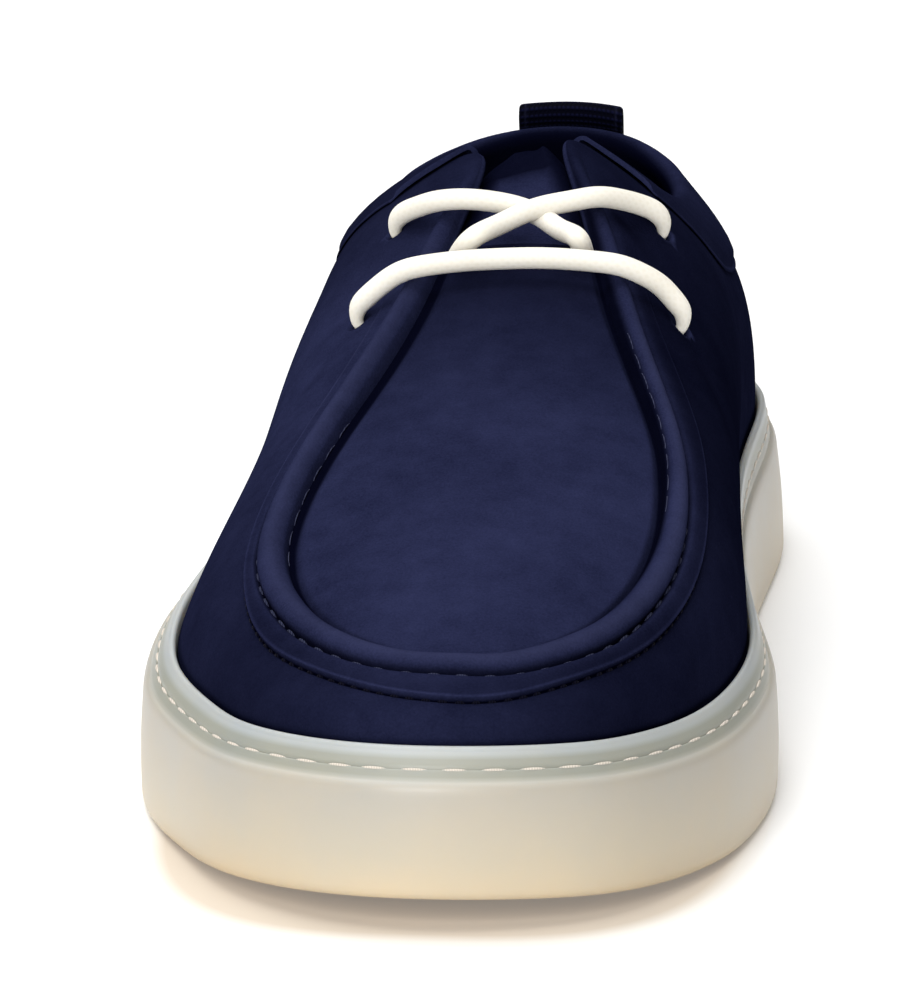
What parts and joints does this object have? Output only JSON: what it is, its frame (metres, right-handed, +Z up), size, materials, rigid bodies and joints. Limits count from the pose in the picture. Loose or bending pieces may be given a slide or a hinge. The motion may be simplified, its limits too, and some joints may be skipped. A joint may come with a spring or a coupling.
{
  "type": "derby shoe",
  "caption": "Low moccasin-toe derby shoe for the right foot: rubber cup sole, hollow upper with a raised apron seam, tongue, folded collar band, heel pull loop and round laces.",
  "frame": {"origin": "on the floor under the middle of the heel, 50 mm in front of the back of the sole", "axes": "+X towards the inner (medial) side, +Y from toe to heel, +Z up"},
  "size_m": [0.1151, 0.3021, 0.0957],
  "materials": {
    "translucent_rubber": "satin, slightly see-through, cream at the floor and grey-green at the ledge",
    "navy_nubuck": "fine matt nap",
    "navy_webbing": "matt woven tape",
    "lining": "matt lining and footbed cover",
    "cream_cord": "matt braided cotton"
  },
  "bodies": {
    "root": {"outsole": "translucent_rubber", "insole": "lining", "upper": "navy_nubuck", "tongue": "navy_nubuck", "collar_band": "navy_nubuck", "heel_pull_loop": "navy_webbing", "laces": "cream_cord"}
  },
  "joints": []
}
